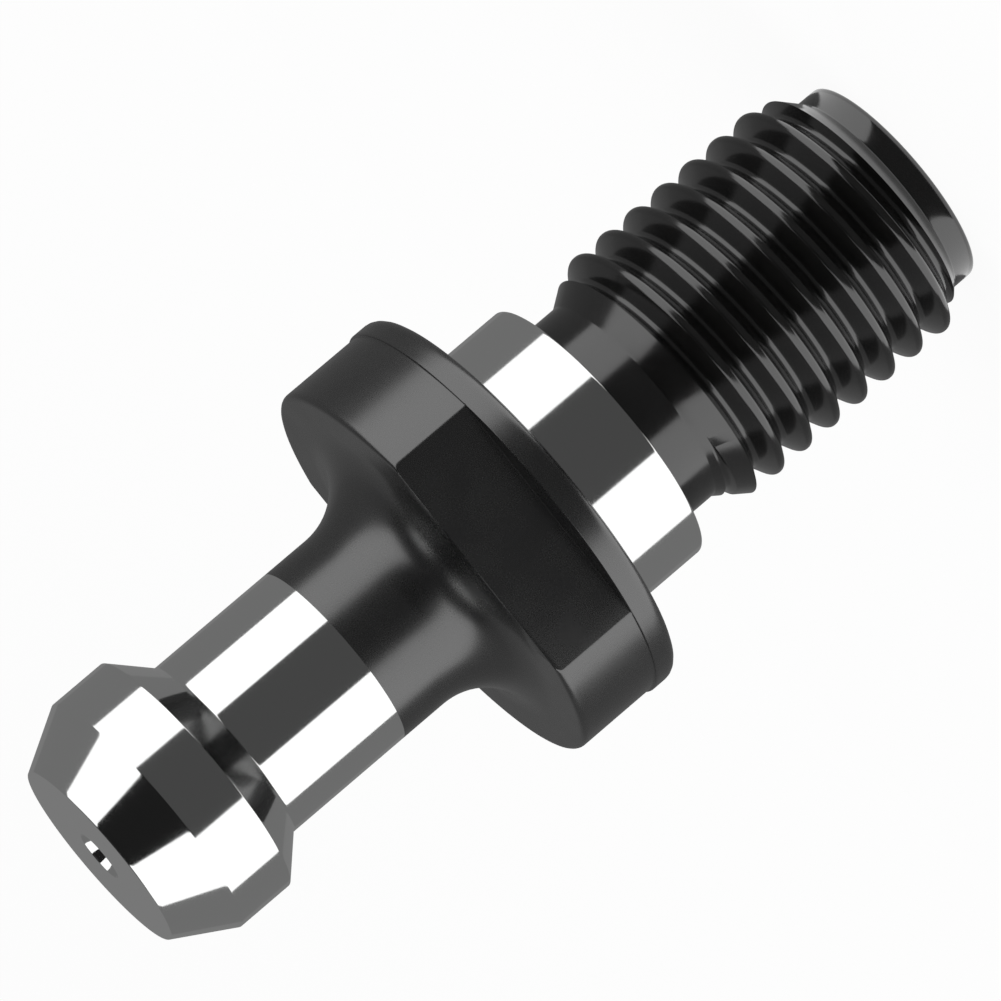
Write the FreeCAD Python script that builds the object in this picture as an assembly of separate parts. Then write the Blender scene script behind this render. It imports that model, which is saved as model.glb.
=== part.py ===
"""Pull stud for a taper tool holder, turned from one piece of steel.

The stud stands on its threaded end with its head up, along +Z.  The origin is the centre of
the flange's seating face, which bears on the small end of the holder's taper.  Above it are
the flange with its two wrench flats, the neck and the gripping head.  Below it are the ground
pilot, the run-out groove and the thread.  Every height is in millimetres from the seating face.
"""
import FreeCAD, Part
import math
import os

# ---- lengths, measured from the seating face ----
head_length = 45.0          # seating face to the head's end face
thread_length = 40.0        # seating face to the threaded end
grip_length = 35.0          # seating face to the edge where the gripping cone starts
flange_thickness = 10.0
collar_thickness = 2.4      # full round band between the flats and the seating face
pilot_length = 8.0
groove_width = 3.8          # run-out groove between the pilot and the thread
point_length = 2.2          # plain point after the thread

# ---- diameters ----
head_diameter = 23.0
neck_diameter = 17.0
flange_diameter = 36.6
collar_diameter = 37.0
pilot_diameter = 25.0
groove_diameter = 19.6
point_diameter = 19.4

# ---- wrench flats ----
across_flats = 30.0

# ---- thread blank ----
thread_diameter = 24.0
crest_allowance = 0.1       # how far the crests stay inside the nominal radius

# ---- angles, in degrees ----
grip_angle = 45.0           # gripping cone to the axis
nose_angle = 30.0           # front cone of the head to the axis
lead_in_angle = 35.0        # cone from the groove up to the crests, to the axis
lead_out_angle = 45.0       # cone from the crests down to the point, to the axis
centre_angle = 60.0         # countersink of the centre holes

# ---- rounds and edge breaks ----
land_length = 5.0           # straight band of the head, between its two cones
neck_fillet = 6.0
flange_edge_round = 0.6
collar_step_fillet = 0.12
collar_edge_round = 1.1
pilot_chamfer = 0.3
groove_fillet = 0.6
point_edge_break = 0.3

# ---- centre holes, one in each end face ----
centre_diameter = 4.5       # at the end face
centre_drill_diameter = 2.0
centre_drill_depth = 5.0

# ---- worked out from the sizes above ----
AXIS = FreeCAD.Vector(0, 0, 1)
CENTRE = FreeCAD.Vector(0, 0, 0)
crest_r = thread_diameter / 2 - crest_allowance
groove_bottom = -(pilot_length + groove_width)
thread_end = -(thread_length - point_length)
CLEAR = 2.0                 # how far cutting tools run past the surface they cut


def tangent(degrees):
    return math.tan(math.radians(degrees))


def point(radius, height):
    """A point of a section, in the XZ plane."""
    return FreeCAD.Vector(radius, 0, height)


def line(start, end):
    return Part.makeLine(start, end)


def arc_through(start, end, centre, radius, side):
    """An arc about centre from start to end, through the point at radius on the side given."""
    direction = FreeCAD.Vector(side[0], 0, side[1]).normalize()
    return Part.Arc(start, centre + direction * radius, end).toShape()


def turned(edges):
    """The solid that a closed section in the XZ plane sweeps when it turns about the axis."""
    return Part.Face(Part.Wire(edges)).revolve(CENTRE, AXIS, 360)


def head_and_neck_section():
    """Outline from the axis at the head's end face, down to the top of the neck fillet."""
    head_r = head_diameter / 2
    neck_r = neck_diameter / 2
    land_top = grip_length + land_length
    nose_r = head_r - (head_length - land_top) * tangent(nose_angle)
    neck_top = grip_length - (head_r - neck_r) / tangent(grip_angle)
    corners = [
        point(0, head_length),
        point(nose_r, head_length),
        point(head_r, land_top),
        point(head_r, grip_length),
        point(neck_r, neck_top),
        point(neck_r, flange_thickness + neck_fillet),
    ]
    return [line(a, b) for a, b in zip(corners, corners[1:])]


def flange_section():
    """Outline from the neck fillet, round the flange and its collar, to the seating face."""
    neck_r = neck_diameter / 2
    flange_r = flange_diameter / 2
    collar_r = collar_diameter / 2
    step = collar_step_fillet
    front = flange_thickness
    edge = flange_edge_round
    rear = collar_edge_round
    fillet_top = point(neck_r, front + neck_fillet)
    fillet_end = point(neck_r + neck_fillet, front)
    edge_start = point(flange_r - edge, front)
    edge_end = point(flange_r, front - edge)
    step_start = point(flange_r, collar_thickness + step)
    step_end = point(flange_r + step, collar_thickness)
    lip = collar_r - flange_r - step
    lip_end = point(collar_r, collar_thickness - lip)
    rear_start = point(collar_r, rear)
    rear_end = point(collar_r - rear, 0)
    return [
        arc_through(fillet_top, fillet_end, point(neck_r + neck_fillet, front + neck_fillet),
                    neck_fillet, (-1, -1)),
        line(fillet_end, edge_start),
        arc_through(edge_start, edge_end, point(flange_r - edge, front - edge), edge, (1, 1)),
        line(edge_end, step_start),
        arc_through(step_start, step_end, point(flange_r + step, collar_thickness + step),
                    step, (-1, -1)),
        arc_through(step_end, lip_end, point(flange_r + step, collar_thickness - lip),
                    lip, (1, 1)),
        line(lip_end, rear_start),
        arc_through(rear_start, rear_end, point(collar_r - rear, rear), rear, (1, -1)),
    ]


def pilot_and_shank_section():
    """Outline from the seating face down the pilot, the groove, the thread blank and the point."""
    pilot_r = pilot_diameter / 2
    groove_r = groove_diameter / 2
    point_r = point_diameter / 2
    fillet = groove_fillet
    pilot_end = -pilot_length
    seat_edge = point(collar_diameter / 2 - collar_edge_round, 0)
    fillet_start = point(groove_r + fillet, pilot_end)
    fillet_end = point(groove_r, pilot_end - fillet)
    crests_start = groove_bottom - (crest_r - groove_r) / tangent(lead_in_angle)
    crests_end = thread_end + (crest_r - point_r) / tangent(lead_out_angle)
    upper = [
        seat_edge,
        point(pilot_r, 0),
        point(pilot_r, pilot_end + pilot_chamfer),
        point(pilot_r - pilot_chamfer, pilot_end),
        fillet_start,
    ]
    lower = [
        fillet_end,
        point(groove_r, groove_bottom),
        point(crest_r, crests_start),
        point(crest_r, crests_end),
        point(point_r, thread_end),
        point(point_r, -thread_length + point_edge_break),
        point(point_r - point_edge_break, -thread_length),
        point(0, -thread_length),
    ]
    fillet_edge = arc_through(fillet_start, fillet_end, point(groove_r + fillet, pilot_end - fillet),
                              fillet, (-1, 1))
    edges = [line(a, b) for a, b in zip(upper, upper[1:])]
    edges.append(fillet_edge)
    edges += [line(a, b) for a, b in zip(lower, lower[1:])]
    edges.append(line(lower[-1], point(0, head_length)))
    return edges


def turned_blank():
    """The whole stud as it leaves the lathe, before the flats, the thread and the centres."""
    return turned(head_and_neck_section() + flange_section() + pilot_and_shank_section())


def flat_cutter(side):
    """What a cutter takes off one side of the flange, down to the collar."""
    width = collar_diameter + 2 * CLEAR
    depth = (collar_diameter - across_flats) / 2 + CLEAR
    height = flange_thickness - collar_thickness + CLEAR
    y = across_flats / 2 if side > 0 else -across_flats / 2 - depth
    return Part.makeBox(width, depth, height, FreeCAD.Vector(-width / 2, y, collar_thickness))


def centre_hole(end_height, inward):
    """A centre drill's hole from an end face: countersink, drill and drill tip."""
    outer_r = centre_diameter / 2
    drill_r = centre_drill_diameter / 2
    sink = (outer_r - drill_r) / tangent(centre_angle / 2)
    tip = drill_r / tangent(59)
    corners = [
        point(0, 0),
        point(outer_r, 0),
        point(drill_r, -sink),
        point(drill_r, -centre_drill_depth),
        point(0, -centre_drill_depth - tip),
        point(0, 0),
    ]
    hole = turned([line(a, b) for a, b in zip(corners, corners[1:])])
    if inward > 0:
        hole = hole.mirror(CENTRE, AXIS)
    hole.translate(FreeCAD.Vector(0, 0, end_height))
    return hole


def pull_stud():
    body = turned_blank()
    body = body.cut([flat_cutter(1), flat_cutter(-1)])
    return body.cut([centre_hole(head_length, -1), centre_hole(-thread_length, 1)])


os.makedirs("parts", exist_ok=True)
stud = pull_stud()
print("pull_stud: valid", stud.isValid(), "solids", len(stud.Solids), "volume mm3", round(stud.Volume, 1))
stud.Solids[0].exportStep("parts/pull_stud.step")
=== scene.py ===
# %% [markdown]
# # A pull stud, dressed on its CAD frame
# A pull stud screws into the small end of a taper tool holder, and the machine's gripper pulls on its head.
# It is one turned piece: a hardened body with a black oxide skin, whose head, neck and pilot are ground
# bright afterwards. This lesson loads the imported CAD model, builds the stud again with its fine thread
# and small edge rounds, gives each surface its own finish, and lights it as polished steel is lit.

# %% Load the frame
import bpy
import math
from mathutils import Matrix, Vector


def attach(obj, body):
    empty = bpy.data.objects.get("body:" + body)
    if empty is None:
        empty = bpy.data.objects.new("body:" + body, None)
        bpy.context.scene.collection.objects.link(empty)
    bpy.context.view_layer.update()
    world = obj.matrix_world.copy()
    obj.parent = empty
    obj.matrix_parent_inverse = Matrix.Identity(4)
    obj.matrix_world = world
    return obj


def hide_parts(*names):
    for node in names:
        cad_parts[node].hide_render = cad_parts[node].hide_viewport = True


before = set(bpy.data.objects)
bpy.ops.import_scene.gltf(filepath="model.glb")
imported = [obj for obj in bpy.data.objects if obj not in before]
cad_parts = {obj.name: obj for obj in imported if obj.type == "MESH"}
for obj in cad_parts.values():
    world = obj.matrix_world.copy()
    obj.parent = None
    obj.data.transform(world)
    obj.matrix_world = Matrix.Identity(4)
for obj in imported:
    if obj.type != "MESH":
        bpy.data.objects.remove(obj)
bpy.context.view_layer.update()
MM = 0.001

# %% [markdown]
# ## Sizes
# Every height is measured from the seating face, where the flange meets the tool holder. The sizes repeat
# the CAD model's own numbers, so the dressed piece lies on the same surfaces.

# %% Sizes of the stud, in millimetres
HEAD_END, LAND_TOP, GRIP_EDGE = 45.0, 40.0, 35.0
HEAD_R, NECK_R = 11.5, 8.5
NOSE_R = HEAD_R - (HEAD_END - LAND_TOP) * math.tan(math.radians(30))
NECK_TOP = GRIP_EDGE - (HEAD_R - NECK_R)
GROUND_END = 20.3
FLANGE_TOP, NECK_FILLET = 10.0, 6.0
FLANGE_R, COLLAR_R, COLLAR_TOP = 18.3, 18.5, 2.4
PILOT_R, PILOT_END = 12.5, -8.0
GROOVE_R, GROOVE_END = 9.8, -11.8
POINT_R, POINT_TOP, STUD_END = 9.7, -37.8, -40.0
HALF_FLATS = 15.0
CENTRE_R, DRILL_R, DRILL_DEPTH = 2.25, 1.0, 5.0
CREST_R, PITCH = 11.9, 3.0
JOIN_HEIGHT = -11.0
RING_STEPS = 192
MERGE = 0.001 * MM           # vertices closer than this are one
print("nose radius", round(NOSE_R, 3), "neck top", NECK_TOP)

# %% [markdown]
# ## Turning a section
# A turned part is a section spun about its axis. The section starts as one vertex and is extruded from
# corner to corner, then the spin tool sweeps it once round. Each corner carries the radius of its round,
# and two extra points beside every round keep the long faces next to it flat, so reflections on them stay
# straight instead of bending towards the edge.

# %% Section helpers
def deselect():
    if bpy.context.object and bpy.context.object.mode != "OBJECT":
        bpy.ops.object.mode_set(mode="OBJECT")
    bpy.ops.object.select_all(action="DESELECT")


def activate(piece):
    deselect()
    bpy.context.view_layer.objects.active = piece
    piece.select_set(True)


def edit_all(piece):
    activate(piece)
    bpy.ops.object.mode_set(mode="EDIT")
    bpy.ops.mesh.select_mode(type="VERT")
    bpy.ops.mesh.select_all(action="SELECT")


def corner_reach(corners, index):
    """How far the round of a corner reaches along its two sides, and the directions of the sides."""
    here = Vector(corners[index][:2])
    before = (Vector(corners[index - 1][:2]) - here).normalized()
    after = (Vector(corners[index + 1][:2]) - here).normalized()
    return corners[index][2] / math.tan(before.angle(after) / 2), before, after


def rounded(corners, arc_steps=5, support=0.25):
    """Points along a section of (radius, height, round) corners, in millimetres."""
    inner = range(1, len(corners) - 1)
    reaches = [0.0] + [corner_reach(corners, index)[0] for index in inner] + [0.0]
    points = [Vector(corners[0][:2])]
    for index in inner:
        here, fillet = Vector(corners[index][:2]), corners[index][2]
        if fillet == 0:
            points.append(here)
            continue
        reach, before, after = corner_reach(corners, index)
        centre = here + (before + after).normalized() * math.hypot(fillet, reach)
        start, end = here + before * reach, here + after * reach
        from_angle = math.atan2(start.y - centre.y, start.x - centre.x)
        sweep = math.atan2(end.y - centre.y, end.x - centre.x) - from_angle
        sweep = (sweep + math.pi) % math.tau - math.pi
        room_before = (Vector(corners[index - 1][:2]) - here).length - reach - reaches[index - 1]
        room_after = (Vector(corners[index + 1][:2]) - here).length - reach - reaches[index + 1]
        if room_before > 3 * support:
            points.append(start + before * support)
        steps = max(arc_steps, round(fillet * 3))
        for step in range(steps + 1):
            angle = from_angle + sweep * step / steps
            points.append(centre + fillet * Vector((math.cos(angle), math.sin(angle))))
        if room_after > 3 * support:
            points.append(end + after * support)
    points.append(Vector(corners[-1][:2]))
    return points


def chain(name, places):
    """A chain of edges through places in metres, extruded vertex by vertex and left in edit mode."""
    deselect()
    bpy.ops.mesh.primitive_plane_add(size=MM)
    piece = bpy.context.object
    piece.name = name
    piece.data.name = name
    edit_all(piece)
    bpy.ops.mesh.merge(type="CENTER")
    bpy.ops.transform.translate(value=places[0])
    for here, there in zip(places, places[1:]):
        bpy.ops.mesh.extrude_region_move(TRANSFORM_OT_translate={"value": there - here})
    return piece


def section_line(name, points):
    """A section in the XZ plane, from (radius, height) points in millimetres."""
    piece = chain(name, [Vector((radius, 0, height)) * MM for radius, height in points])
    bpy.ops.object.mode_set(mode="OBJECT")
    return piece


def turn_on_lathe(name, points):
    """Spins a section once about the stud's axis and closes it."""
    piece = section_line(name, points)
    edit_all(piece)
    bpy.ops.mesh.spin(steps=RING_STEPS, angle=math.tau, center=(0, 0, 0), axis=(0, 0, 1))
    bpy.ops.mesh.select_all(action="SELECT")
    bpy.ops.mesh.remove_doubles(threshold=MERGE)
    bpy.ops.mesh.normals_make_consistent(inside=False)
    bpy.ops.object.mode_set(mode="OBJECT")
    print(name, len(piece.data.vertices), "vertices", len(piece.data.polygons), "faces")
    return piece


# %% [markdown]
# ## Head, neck, flange and pilot
# The head carries a nose cone, a straight land and the 45 degree cone that the gripper pulls on. Below the
# neck a large fillet spreads the pull into the flange. One lathe section gives all of it, down to a cut in
# the run-out groove where the threaded shank is joined on. The centre hole in the head is part of it.

# %% Turn the upper body
SINK = (CENTRE_R - DRILL_R) / math.tan(math.radians(30))
DRILL_TIP = 0.6
upper_corners = [
    (0, HEAD_END - DRILL_DEPTH - DRILL_TIP, 0),
    (DRILL_R, HEAD_END - DRILL_DEPTH, 0),
    (DRILL_R, HEAD_END - SINK, 0.05),
    (CENTRE_R, HEAD_END, 0.06),
    (NOSE_R, HEAD_END, 0.12),
    (HEAD_R, LAND_TOP, 0.12),
    (HEAD_R, GRIP_EDGE, 0.1),
    (NECK_R, NECK_TOP, 0.25),
    (NECK_R, GROUND_END, 0),
    (NECK_R, FLANGE_TOP, NECK_FILLET),
    (FLANGE_R, FLANGE_TOP, 0.5),
    (FLANGE_R, COLLAR_TOP, 0.08),
    (COLLAR_R, COLLAR_TOP, 0.1),
    (COLLAR_R, 0, 1.1),
    (PILOT_R, 0, 0.15),
    (PILOT_R, PILOT_END, 0.25),
    (GROOVE_R, PILOT_END, 0.6),
    (GROOVE_R, JOIN_HEIGHT, 0),
    (0, JOIN_HEIGHT, 0),
]
upper = turn_on_lathe("stud_upper", rounded(upper_corners))

# %% [markdown]
# ## Wrench flats
# Two flats are milled on the flange for tightening the stud, from its front face down to a round collar.
# A block is placed on each side and taken away with a Boolean modifier, and the new edge is then broken
# with a small bevel, which is what catches the light along it.

# %% Mill the two flats
def boolean(target, tool, operation):
    activate(target)
    modifier = target.modifiers.new("cut", "BOOLEAN")
    modifier.operation = operation
    modifier.solver = "EXACT"
    modifier.object = tool
    bpy.ops.object.modifier_apply(modifier=modifier.name)
    bpy.data.objects.remove(tool)


def select_faces(piece, wanted):
    """Selects the faces whose centre and normal pass the test, in millimetres."""
    activate(piece)
    bpy.ops.object.mode_set(mode="EDIT")
    bpy.ops.mesh.select_mode(type="FACE")
    bpy.ops.mesh.select_all(action="DESELECT")
    bpy.ops.object.mode_set(mode="OBJECT")
    count = 0
    for face in piece.data.polygons:
        face.select = bool(wanted(face.center / MM, face.normal))
        count += face.select
    bpy.ops.object.mode_set(mode="EDIT")
    return count


BLOCK = Vector((40, 8, 10)) * MM
FLAT_EDGE_BREAK = 0.12
for side in (1, -1):
    deselect()
    middle = side * (HALF_FLATS * MM + BLOCK.y / 2), COLLAR_TOP * MM + BLOCK.z / 2
    bpy.ops.mesh.primitive_cube_add(size=1, location=(0, *middle), scale=BLOCK)
    boolean(upper, bpy.context.object, "DIFFERENCE")

found = select_faces(upper, lambda c, n: abs(n.y) > 0.999 and abs(abs(c.y) - HALF_FLATS) < 0.01)
bpy.ops.mesh.region_to_loop()
bpy.ops.mesh.bevel(offset=FLAT_EDGE_BREAK * MM, segments=2, affect="EDGES")
bpy.ops.object.mode_set(mode="OBJECT")
print("flat faces", found, "faces now", len(upper.data.polygons))

# %% [markdown]
# ## The thread
# The thread is M24 with a pitch of 3 mm, right hand. One pitch of its section, from crest to crest with a
# rounded root, is wound down the shank by a Screw modifier. Two planes close its ends, and a Boolean keeps
# what lies inside the turned shank, whose cones make the thread run out at both ends.

# %% Wind the thread
ROOT_ROUND, CREST_ROUND, CREST_FLAT = 0.43, 0.40, 0.08
HALF_ANGLE = math.radians(30)
CREST_PHASE = -0.78          # height of a crest on the +X side, give or take whole pitches
ARC_STEPS, TURN_STEPS = 5, 144
THREAD_TOP, THREAD_BOTTOM, TURNS = -10.0, -41.0, 11
rounds = CREST_ROUND + ROOT_ROUND
flank_run = (PITCH - CREST_FLAT) / 2 - rounds * math.cos(HALF_ANGLE)
DEPTH = flank_run / math.tan(HALF_ANGLE) + rounds * (1 - math.sin(HALF_ANGLE))
ROOT_R = CREST_R - DEPTH


def half_thread():
    """Crest to root as (radius, distance along the axis from the crest's middle)."""
    points = [(CREST_R, 0.0), (CREST_R, CREST_FLAT / 2)]
    bends = [(math.pi / 2 - HALF_ANGLE) * step / ARC_STEPS for step in range(ARC_STEPS + 1)]
    for bend in bends[1:]:
        radius = CREST_R - CREST_ROUND * (1 - math.cos(bend))
        points.append((radius, CREST_FLAT / 2 + CREST_ROUND * math.sin(bend)))
    for bend in reversed(bends):
        radius = ROOT_R + ROOT_ROUND * (1 - math.cos(bend))
        points.append((radius, PITCH / 2 - ROOT_ROUND * math.sin(bend)))
    return points


one_half = half_thread()
one_pitch = one_half + [(r, PITCH - z) for r, z in reversed(one_half[:-1])]
thread_low = CREST_PHASE - 14 * PITCH    # a crest just below the stud
thread = section_line("thread", [(r, thread_low + z) for r, z in one_pitch])
activate(thread)
screw = thread.modifiers.new("wind", "SCREW")
screw.axis = "Z"
screw.angle = math.tau
screw.screw_offset = PITCH * MM
screw.iterations = TURNS
screw.steps = screw.render_steps = TURN_STEPS
bpy.ops.object.modifier_apply(modifier=screw.name)
edit_all(thread)
bpy.ops.mesh.remove_doubles(threshold=MERGE)
for height, outward in ((THREAD_TOP, 1), (THREAD_BOTTOM, -1)):
    bpy.ops.mesh.select_all(action="SELECT")
    bpy.ops.mesh.bisect(plane_co=(0, 0, height * MM), plane_no=(0, 0, outward), use_fill=True, clear_outer=True)
bpy.ops.mesh.select_all(action="SELECT")
bpy.ops.mesh.normals_make_consistent(inside=False)
bpy.ops.object.mode_set(mode="OBJECT")
print("thread depth", round(DEPTH, 3), "faces", len(thread.data.polygons))

# %% Turn the shank and keep the thread inside it
CONE_R = CREST_R + 0.5       # the shank clears the crests, so only its cones cut the thread
lead_in_end = GROOVE_END - (CONE_R - GROOVE_R) / math.tan(math.radians(35))
lead_out_top = POINT_TOP + (CONE_R - POINT_R)
shank_corners = [
    (0, JOIN_HEIGHT, 0),
    (GROOVE_R, JOIN_HEIGHT, 0),
    (GROOVE_R, GROOVE_END, 0.2),
    (CONE_R, lead_in_end, 0),
    (CONE_R, lead_out_top, 0),
    (POINT_R, POINT_TOP, 0.15),
    (POINT_R, STUD_END, 0.3),
    (CENTRE_R, STUD_END, 0.06),
    (DRILL_R, STUD_END + SINK, 0.05),
    (DRILL_R, STUD_END + DRILL_DEPTH, 0),
    (0, STUD_END + DRILL_DEPTH + DRILL_TIP, 0),
]
shank = turn_on_lathe("stud_shank", rounded(shank_corners))
boolean(shank, thread, "INTERSECT")
print("shank faces", len(shank.data.polygons))

# %% Join the shank to the upper body
SHARP_ANGLE = 24             # edges that turn more than this stay crisp
for piece in (upper, shank):
    select_faces(piece, lambda c, n: abs(c.z - JOIN_HEIGHT) < 0.001 and abs(n.z) > 0.99)
    bpy.ops.mesh.delete(type="FACE")
    bpy.ops.object.mode_set(mode="OBJECT")
activate(upper)
shank.select_set(True)
bpy.ops.object.join()
stud = upper
stud.name = "stud"
stud.data.name = "stud"
edit_all(stud)
bpy.ops.mesh.remove_doubles(threshold=MERGE / 2)
bpy.ops.mesh.delete_loose()
bpy.ops.mesh.select_all(action="SELECT")
bpy.ops.mesh.normals_make_consistent(inside=False)
bpy.ops.mesh.select_mode(type="EDGE")
bpy.ops.mesh.select_all(action="DESELECT")
bpy.ops.mesh.select_non_manifold()
bpy.ops.object.mode_set(mode="OBJECT")
open_edges = sum(edge.select for edge in stud.data.edges)
print("open edges", open_edges, "faces", len(stud.data.polygons))
activate(stud)
bpy.ops.object.shade_smooth_by_angle(angle=math.radians(SHARP_ANGLE))

# %% [markdown]
# ## Shader helper
# Materials are written as Python expressions. A small class wraps a socket, so that adding two wrapped
# sockets adds a Math node, and any other node comes from one method.

# %% Socket arithmetic
class Wire:
    def __init__(self, tree, socket):
        self.tree, self.socket = tree, socket

    def _math(self, operation, first, second):
        return node(self.tree, "ShaderNodeMath", {"operation": operation}, {0: first, 1: second})

    def __add__(self, other):
        return self._math("ADD", self, other)

    def __sub__(self, other):
        return self._math("SUBTRACT", self, other)

    def __mul__(self, other):
        return self._math("MULTIPLY", self, other)

    __radd__ = __add__
    __rmul__ = __mul__

    def __rsub__(self, other):
        return self._math("SUBTRACT", other, self)


def node(tree, kind, settings=None, inputs=None, output=0):
    """Adds a node, sets it up, feeds its sockets with values or wires, and returns one output."""
    made = tree.nodes.new(kind)
    for key, value in (settings or {}).items():
        setattr(made, key, value)
    for key, value in (inputs or {}).items():
        if isinstance(value, Wire):
            tree.links.new(value.socket, made.inputs[key])
        else:
            made.inputs[key].default_value = value
    return Wire(tree, made.outputs[output])


def new_material(name, settings):
    """A material with a Principled shader, and its node tree and shader."""
    material = bpy.data.materials.new(name)
    material.use_nodes = True
    tree = material.node_tree
    shader = tree.nodes["Principled BSDF"]
    for key, value in settings.items():
        shader.inputs[key].default_value = value
    return material, tree, shader


def feed(tree, wire, shader, socket):
    tree.links.new(wire.socket, shader.inputs[socket])


# %% [markdown]
# ## Finishes
# The head, neck and pilot are ground after hardening, so they are bright and almost mirror-like, with very
# fine marks that run round the part. The rest keeps a black oxide skin: satin on the turned flange, and
# glossier on the thread, where a film of oil fills the grain.

# %% Ground steel
def round_marks(tree, per_mm):
    """Noise drawn out round the axis, as the marks of turning and grinding are."""
    place = node(tree, "ShaderNodeTexCoord", output="Object")
    stretched = node(tree, "ShaderNodeMapping", {"vector_type": "POINT"},
                     {"Vector": place, "Scale": (60.0, 60.0, per_mm / MM)})
    return node(tree, "ShaderNodeTexNoise", {}, {"Vector": stretched, "Scale": 1.0, "Detail": 2.0})


def blotches(tree, per_mm):
    """Soft uneven patches, so many to a millimetre."""
    place = node(tree, "ShaderNodeTexCoord", output="Object")
    return node(tree, "ShaderNodeTexNoise", {}, {"Vector": place, "Scale": per_mm / MM, "Detail": 4.0})


ground_steel, tree, shader = new_material(
    "ground_steel", {"Metallic": 1.0, "Base Color": (0.86, 0.865, 0.86, 1)})
marks = round_marks(tree, 9.0)
feed(tree, marks * 0.05 + 0.055, shader, "Roughness")
bump = node(tree, "ShaderNodeBump", {}, {"Strength": 0.06, "Distance": 0.0004 * MM, "Height": marks})
feed(tree, bump, shader, "Normal")

# %% Black oxide
black_oxide, tree, shader = new_material("black_oxide", {"Base Color": (0.012, 0.012, 0.0125, 1), "IOR": 2.15})
cloud = blotches(tree, 0.35)
fine = blotches(tree, 6.0)
dark = node(tree, "ShaderNodeMix", {"data_type": "RGBA"},
            {0: cloud, 6: (0.004, 0.004, 0.0045, 1), 7: (0.008, 0.008, 0.0078, 1)}, output=2)
feed(tree, dark, shader, "Base Color")
feed(tree, fine * 0.06 + cloud * 0.08 + 0.2, shader, "Roughness")
bump = node(tree, "ShaderNodeBump", {}, {"Strength": 0.25, "Distance": 0.002 * MM, "Height": fine})
feed(tree, bump, shader, "Normal")

# %% Oiled thread
oiled_thread, tree, shader = new_material("oiled_thread", {"Base Color": (0.006, 0.006, 0.006, 1), "IOR": 1.9})
smear = blotches(tree, 0.8)
dark = node(tree, "ShaderNodeMix", {"data_type": "RGBA"},
            {0: smear, 6: (0.003, 0.003, 0.003, 1), 7: (0.006, 0.0058, 0.0055, 1)}, output=2)
feed(tree, dark, shader, "Base Color")
feed(tree, smear * 0.12 + 0.1, shader, "Roughness")

# %% Give each surface its finish
stud.data.materials.clear()
for material in (ground_steel, black_oxide, oiled_thread):
    stud.data.materials.append(material)


def is_oxide(c, n):
    """From the seating face, which is ground itself, up to the ground part of the neck."""
    seating_face = c.z < 0.01 and n.z < -0.9
    return -0.001 < c.z < GROUND_END and not seating_face and math.hypot(c.x, c.y) > NECK_R - 0.2


def is_thread(c, n):
    """Everything below the pilot, without the round of the pilot's edge."""
    pilot_edge = n.z > -0.5 and math.hypot(c.x, c.y) > PILOT_R - 0.3
    return c.z < PILOT_END + 0.001 and not pilot_edge


for index, rule in ((1, is_oxide), (2, is_thread)):
    count = select_faces(stud, rule)
    stud.active_material_index = index
    bpy.ops.object.material_slot_assign()
    bpy.ops.object.mode_set(mode="OBJECT")
    print(stud.data.materials[index].name, count, "faces")

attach(stud, "root")
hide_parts("pull_stud")

# %% [markdown]
# ## Floor and backdrop
# The stud stands on its threaded end. The floor and the world are white to the camera and in reflections,
# while the floor still takes a little of the stud's shadow.

# %% Floor and world
WHITE = (1.0, 1.0, 1.0, 1.0)


def seen_directly(tree):
    """1 for camera, mirror and see-through rays, and 0 for the rays that light things."""
    kinds = tree.nodes.new("ShaderNodeLightPath")
    camera = Wire(tree, kinds.outputs["Is Camera Ray"])
    glossy = Wire(tree, kinds.outputs["Is Glossy Ray"])
    through = Wire(tree, kinds.outputs["Is Transmission Ray"])
    return node(tree, "ShaderNodeMath", {"operation": "MINIMUM"}, {0: camera + glossy + through, 1: 1.0})


deselect()
bpy.ops.mesh.primitive_plane_add(size=12, location=(0, 0, STUD_END * MM))
floor = bpy.context.object
floor.name = "floor"
floor_paint, tree, shader = new_material("floor_paint", {"Base Color": (0.9, 0.9, 0.9, 1), "Roughness": 0.9})
glow = node(tree, "ShaderNodeEmission", {}, {"Color": WHITE, "Strength": 1.0})
mixed = node(tree, "ShaderNodeMixShader", {},
             {0: seen_directly(tree) * 0.93, 1: Wire(tree, shader.outputs[0]), 2: glow})
tree.links.new(mixed.socket, tree.nodes["Material Output"].inputs["Surface"])
floor.data.materials.append(floor_paint)

world = bpy.data.worlds.new("studio")
bpy.context.scene.world = world
world.use_nodes = True
tree = world.node_tree
background = tree.nodes["Background"]
background.inputs["Color"].default_value = WHITE
tree.links.new((seen_directly(tree) * 0.4 + 0.6).socket, background.inputs["Strength"])

# %% [markdown]
# ## Cards for the metal
# Polished steel shows its surroundings, so a studio stands white and grey cards round it. Each card is a
# strip of a cylinder about the stud that only reflections see. Two white strips give the two bright bands
# along the stud, a dark one keeps the middle dark, and grey ones fill the sides and the back.

# %% Stand the cards
CAMERA_TURN = 278.07         # the camera's bearing about the stud, from +X
CARD_R, FOOT_R = 150.0, 10.5
CARD_FOOT, CARD_TOP, DARK_TOP = STUD_END + 0.05, 260.0, 60.0


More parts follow.
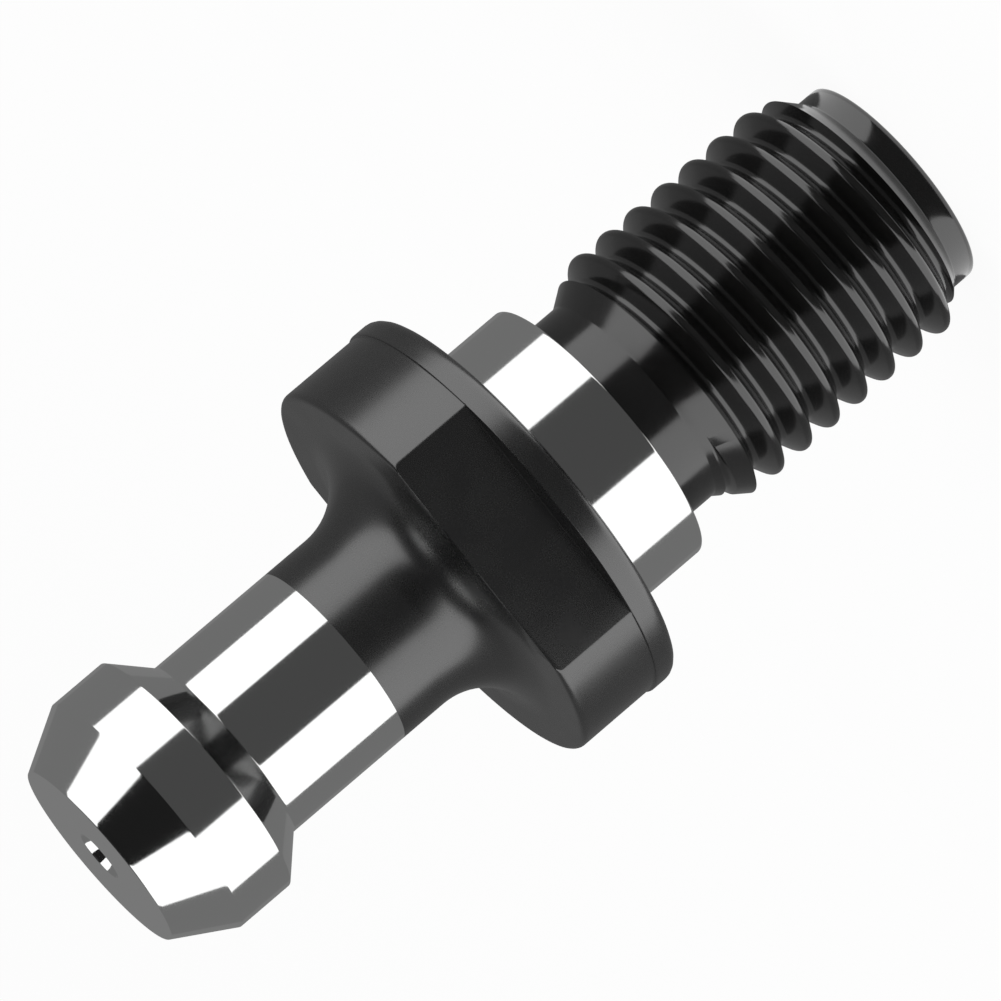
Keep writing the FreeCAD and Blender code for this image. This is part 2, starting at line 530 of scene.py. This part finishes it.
def card(name, start, end, low, high, level):
    """A strip of a cylinder from one bearing to another, measured from the camera's bearing.

    A card that stands on the floor also runs in along it, as far as the stud's foot.
    """
    bearing = math.radians(CAMERA_TURN + start)
    outward = Vector((math.cos(bearing), math.sin(bearing), 0)) * MM
    places = [outward * CARD_R + Vector((0, 0, height * MM)) for height in (low, high)]
    if low == CARD_FOOT:
        places.insert(0, outward * FOOT_R + Vector((0, 0, low * MM)))
    strip = chain(name, places)
    steps = max(2, round((end - start) / 3))
    bpy.ops.mesh.select_all(action="SELECT")
    bpy.ops.mesh.spin(steps=steps, angle=math.radians(start - end), center=(0, 0, 0), axis=(0, 0, 1))
    bpy.ops.object.mode_set(mode="OBJECT")
    glow_grey(strip, level)
    only_in_reflections(strip)


def glow_grey(piece, level):
    paint = bpy.data.materials.new(piece.name)
    paint.use_nodes = True
    nodes = paint.node_tree
    glow = node(nodes, "ShaderNodeEmission", {}, {"Color": (level, level, level, 1), "Strength": 1.0})
    nodes.links.new(glow.socket, nodes.nodes["Material Output"].inputs["Surface"])
    piece.data.materials.append(paint)


def only_in_reflections(piece):
    piece.visible_camera = False
    piece.visible_diffuse = False
    piece.visible_shadow = False
    piece.visible_transmission = False


card("white_card_right", 33, 86, CARD_FOOT, CARD_TOP, 1.25)
card("white_card_left", -98, -37, CARD_FOOT, CARD_TOP, 1.25)
card("front_card_low", -37, 33, CARD_FOOT, DARK_TOP, 0.065)
card("front_card_high", -37, 33, DARK_TOP, CARD_TOP, 0.012)
card("grey_card_right", 86, 150, CARD_FOOT, CARD_TOP, 0.17)
card("grey_card_left", -150, -98, CARD_FOOT, CARD_TOP, 0.17)
card("grey_card_back", 150, 210, CARD_FOOT, CARD_TOP, 0.2)

deselect()
bpy.ops.mesh.primitive_circle_add(
    vertices=96, radius=CARD_R * MM, fill_type="NGON", location=(0, 0, CARD_TOP * MM))
ceiling = bpy.context.object
ceiling.name = "ceiling_card"
glow_grey(ceiling, 0.03)
only_in_reflections(ceiling)

# %% [markdown]
# ## Lamps
# Two large soft lamps light the stud and the floor evenly. They are kept out of the reflections, because
# the cards already stand for what the metal sees.

# %% Soft lamps
def soft_lamp(name, place, size, watts):
    lamp = bpy.data.lights.new(name, "AREA")
    lamp.shape = "SQUARE"
    lamp.size = size
    lamp.energy = watts
    holder = bpy.data.objects.new(name, lamp)
    bpy.context.scene.collection.objects.link(holder)
    holder.location = place
    holder.rotation_euler = (-Vector(place)).to_track_quat("-Z", "Y").to_euler()
    holder.visible_glossy = False
    holder.visible_camera = False


soft_lamp("lamp_left", (-0.5, -0.45, 0.6), 0.5, 2.0)
soft_lamp("lamp_right", (0.6, -0.25, 0.6), 0.5, 2.0)

# %% [markdown]
# ## Camera
# The camera looks at the stud from a little above, through a long lens, and is rolled so that the stud
# lies from the lower left to the upper right of the frame.

# %% Camera
camera = bpy.data.objects.new("camera", bpy.data.cameras.new("camera"))
bpy.context.scene.collection.objects.link(camera)
CAMERA_PLACE = (0.1096, -0.7735, 0.1664)
SENSOR, LENS = 36.0, 359.64
right = Vector((-0.61943, -0.24575, -0.74560))
up = Vector((0.77315, -0.02621, -0.63368))
back = Vector((0.13618, -0.96898, 0.20624))
turn = Matrix((right, up, back)).transposed()
camera.matrix_world = Matrix.Translation(CAMERA_PLACE) @ turn.to_4x4()
camera.data.sensor_width = SENSOR
camera.data.lens = LENS
camera.data.clip_start, camera.data.clip_end = 0.05, 50.0
bpy.context.scene.camera = camera
bpy.context.scene.view_settings.view_transform = "Standard"
